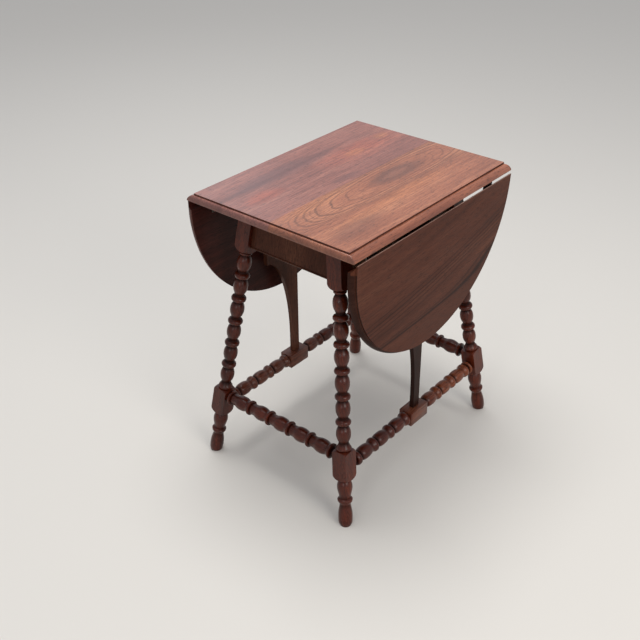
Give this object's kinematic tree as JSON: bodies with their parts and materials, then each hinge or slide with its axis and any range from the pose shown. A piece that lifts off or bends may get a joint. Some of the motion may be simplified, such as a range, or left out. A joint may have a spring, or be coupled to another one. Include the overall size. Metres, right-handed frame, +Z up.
{
  "type": "drop-leaf side table",
  "caption": "Small drop-leaf side table with half-elliptical hanging leaves, rule joints, splayed turned legs, turned stretchers and wing-shaped leaf supports.",
  "frame": {"origin": "on the floor, under the middle of the table", "axes": "+Z up; Y along the hinges, with -Y the end nearest the viewer in the picture; +X across the table towards the leaf that the picture shows in full"},
  "size_m": [0.4235, 0.5414, 0.635],
  "materials": {
    "top_left_board": "semi-gloss varnish",
    "top_right_board": "semi-gloss varnish",
    "leaf_wood": "semi-gloss varnish",
    "turned_wood": "gloss varnish",
    "apron_wood": "semi-gloss varnish",
    "support_wood": "satin varnish",
    "inner_wood": "matt, unvarnished",
    "hinge_steel": "darkened steel",
    "pin_steel": "plain steel"
  },
  "bodies": {
    "frame": {"top_board_left": "top_left_board", "top_board_right": "top_right_board", "rail_left": "inner_wood", "stretcher_left": "turned_wood", "leg_front_left": "turned_wood", "glue_block_front_left": "inner_wood", "glue_block_left_front": "inner_wood", "hinge_top_plate_left_front": "hinge_steel", "hinge_pin_left_front": "hinge_steel", "leg_back_left": "turned_wood", "glue_block_back_left": "inner_wood", "glue_block_left_back": "inner_wood", "hinge_top_plate_left_back": "hinge_steel", "hinge_pin_left_back": "hinge_steel", "pivot_pin_lower_left": "pin_steel", "pivot_pin_upper_left": "pin_steel", "rail_right": "inner_wood", "stretcher_right": "turned_wood", "leg_front_right": "turned_wood", "glue_block_front_right": "inner_wood", "glue_block_right_front": "inner_wood", "hinge_top_plate_right_front": "hinge_steel", "hinge_pin_right_front": "hinge_steel", "leg_back_right": "turned_wood", "glue_block_back_right": "inner_wood", "glue_block_right_back": "inner_wood", "hinge_top_plate_right_back": "hinge_steel", "hinge_pin_right_back": "hinge_steel", "pivot_pin_lower_right": "pin_steel", "pivot_pin_upper_right": "pin_steel", "apron_front": "apron_wood", "stretcher_front": "turned_wood", "apron_back": "apron_wood", "stretcher_back": "turned_wood"},
    "leaf_left": {"leaf_left": "leaf_wood", "hinge_leaf_plate_left_front": "hinge_steel", "hinge_leaf_plate_left_back": "hinge_steel"},
    "leaf_right": {"leaf_right": "leaf_wood", "hinge_leaf_plate_right_front": "hinge_steel", "hinge_leaf_plate_right_back": "hinge_steel"},
    "support_left": {"support_left": "support_wood"},
    "support_right": {"support_right": "support_wood"}
  },
  "joints": [
    {"name": "leaf_right_hinge", "type": "hinge", "parent": "frame", "child": "leaf_right", "pos_m": [0.193, 0, 0.6162], "axis": [0, -1, 0], "range_deg": [0, 92.6]},
    {"name": "leaf_left_hinge", "type": "hinge", "parent": "frame", "child": "leaf_left", "pos_m": [-0.193, 0, 0.6162], "axis": [0, 1, 0], "range_deg": [0, 90]},
    {"name": "support_right_pivot", "type": "hinge", "parent": "frame", "child": "support_right", "pos_m": [0.1728, 0, 0.6], "axis": [0, 0, 1], "range_deg": [-27, 5]},
    {"name": "support_left_pivot", "type": "hinge", "parent": "frame", "child": "support_left", "pos_m": [-0.1728, 0, 0.6], "axis": [0, 0, -1], "range_deg": [-27, 11.5]}
  ]
}
